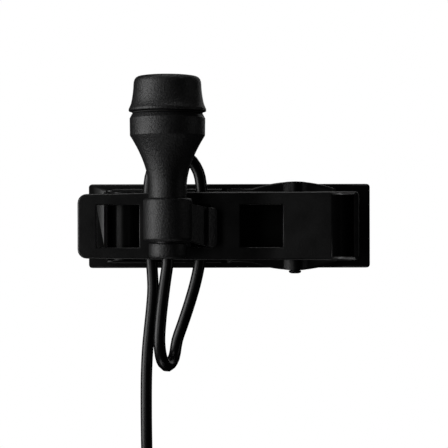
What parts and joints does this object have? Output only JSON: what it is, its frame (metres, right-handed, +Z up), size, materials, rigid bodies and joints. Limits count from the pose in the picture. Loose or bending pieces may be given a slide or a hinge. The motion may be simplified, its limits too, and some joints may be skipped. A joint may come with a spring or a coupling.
{
  "type": "lavalier microphone",
  "caption": "Miniature clip-on lavalier microphone held upright in a sprung two-jaw garment clip, with its lead looped through the clip, coiled and ended in a small locking plug.",
  "frame": {"origin": "middle of the garment grip, at the centre of the tip window, on the front jaw's rear (gripping) face", "axes": "+X along the clip from the gripping tip towards the finger levers, +Y from the front jaw towards the rear jaw and the wearer, +Z up the microphone towards its windscreen cap"},
  "size_m": [0.0295, 0.0185, 0.0734],
  "materials": {
    "black_moulding": "fine spark-eroded texture, satin",
    "black_rubber": "matt",
    "lead_jacket": "satin flexible jacket",
    "black_steel": "black plated, satin",
    "steel": "drawn wire",
    "aluminium": "drawn cup",
    "gold_film": "metallised",
    "circuit_board": "solder mask",
    "white_plastic": "moulded",
    "grey_felt": "acoustic felt",
    "copper": "crimped sleeve",
    "red_wire": "wire insulation"
  },
  "bodies": {
    "clip_front": {"front_jaw": "black_moulding", "torsion_spring": "steel", "mic_holder": "black_moulding", "lead": "lead_jacket", "lead_coil": "lead_jacket", "lead_to_plug": "lead_jacket", "coil_strap": "black_rubber", "plug_boot": "black_rubber", "plug_shell": "black_steel", "plug_insert": "black_moulding", "plug_contact_1": "steel", "plug_contact_2": "steel", "plug_contact_3": "steel", "lead_clamp": "white_plastic", "latch_spring": "steel"},
    "rear_jaw": {"rear_jaw": "black_moulding", "hinge_pin": "black_steel"},
    "microphone": {"body_shell": "black_moulding", "cap_gasket": "black_rubber", "capsule_can": "aluminium", "diaphragm": "gold_film", "spacer_ring": "white_plastic", "backplate": "gold_film", "insulator_ring": "white_plastic", "capsule_board": "circuit_board", "fet": "black_moulding", "signal_wire": "red_wire", "ground_wire": "white_plastic", "lead_end": "lead_jacket", "cable_crimp": "copper", "tail_bush": "black_rubber"},
    "cap": {"windscreen_cap": "black_moulding", "cap_grille": "black_steel", "cap_felt": "grey_felt"},
    "latch": {"plug_latch": "black_steel"}
  },
  "joints": [
    {"name": "jaw_open", "type": "hinge", "parent": "clip_front", "child": "rear_jaw", "pos_m": [0.01765, 0.0019, 0], "axis": [0, 0, -1], "range_deg": [0, 15], "stiffness_Nm_per_rad": 0.01, "springref_deg": -8.59, "deforming": ["torsion_spring"]},
    {"name": "mic_turn", "type": "hinge", "parent": "clip_front", "child": "microphone", "pos_m": [0.00506, -0.00389, 0], "axis": [0, 0, 1], "range_deg": [-90, 90]},
    {"name": "cap_pull", "type": "slide", "parent": "microphone", "child": "cap", "axis": [0, 0, 1], "range_m": [0, 0.006]},
    {"name": "latch_press", "type": "slide", "parent": "clip_front", "child": "latch", "axis": [0, 1, 0], "range_m": [0, 0.00045], "stiffness_N_per_m": 200, "springref_m": -0.0005}
  ]
}
